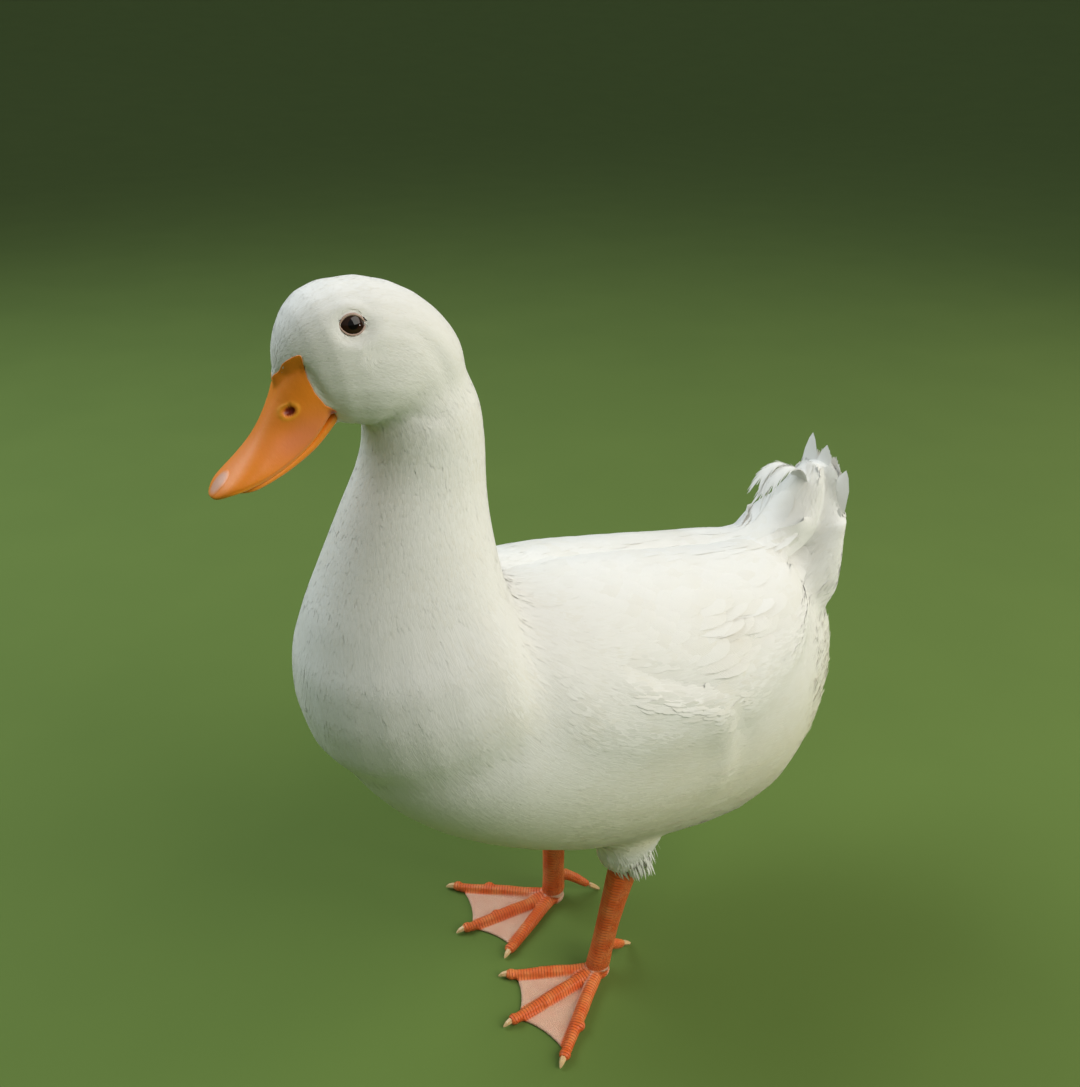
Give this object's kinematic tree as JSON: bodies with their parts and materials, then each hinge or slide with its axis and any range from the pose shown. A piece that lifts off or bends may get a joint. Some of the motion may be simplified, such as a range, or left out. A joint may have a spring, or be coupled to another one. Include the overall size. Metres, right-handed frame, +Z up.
{
  "type": "white domestic duck",
  "caption": "Life-size still model of a standing white domestic drake with an orange bill, an erect curled tail and webbed orange feet.",
  "frame": {"origin": "the middle of the bird's box, on the floor it stands on", "axes": "+X is the bird's left, -Y is the way it faces, +Z is up"},
  "size_m": [0.169, 0.3836, 0.4352],
  "materials": {
    "plumage": "soft matt white feathers with a faint cream tint",
    "bill": "smooth satin orange skin, paler along the edge",
    "bill_nail": "pale pinkish horn, satin",
    "eye": "very dark brown, wet gloss",
    "leg_skin": "orange-red scaly skin, satin, paler pink webs",
    "claw": "pale yellow-brown horn, satin"
  },
  "bodies": {
    "root": {"head": "plumage", "neck": "plumage", "trunk": "plumage", "tail": "plumage", "tail_curl": "plumage", "wing_left": "plumage", "wing_right": "plumage", "thigh_left": "plumage", "thigh_right": "plumage", "bill_upper": "bill", "bill_lower": "bill", "bill_nail": "bill_nail", "eye_left": "eye", "eye_right": "eye", "shank_left": "leg_skin", "shank_right": "leg_skin", "foot_left": "leg_skin", "foot_right": "leg_skin", "hind_toe_left": "leg_skin", "hind_toe_right": "leg_skin", "claw_inner_left": "claw", "claw_middle_left": "claw", "claw_outer_left": "claw", "claw_hind_left": "claw", "claw_inner_right": "claw", "claw_middle_right": "claw", "claw_outer_right": "claw", "claw_hind_right": "claw"}
  },
  "joints": []
}
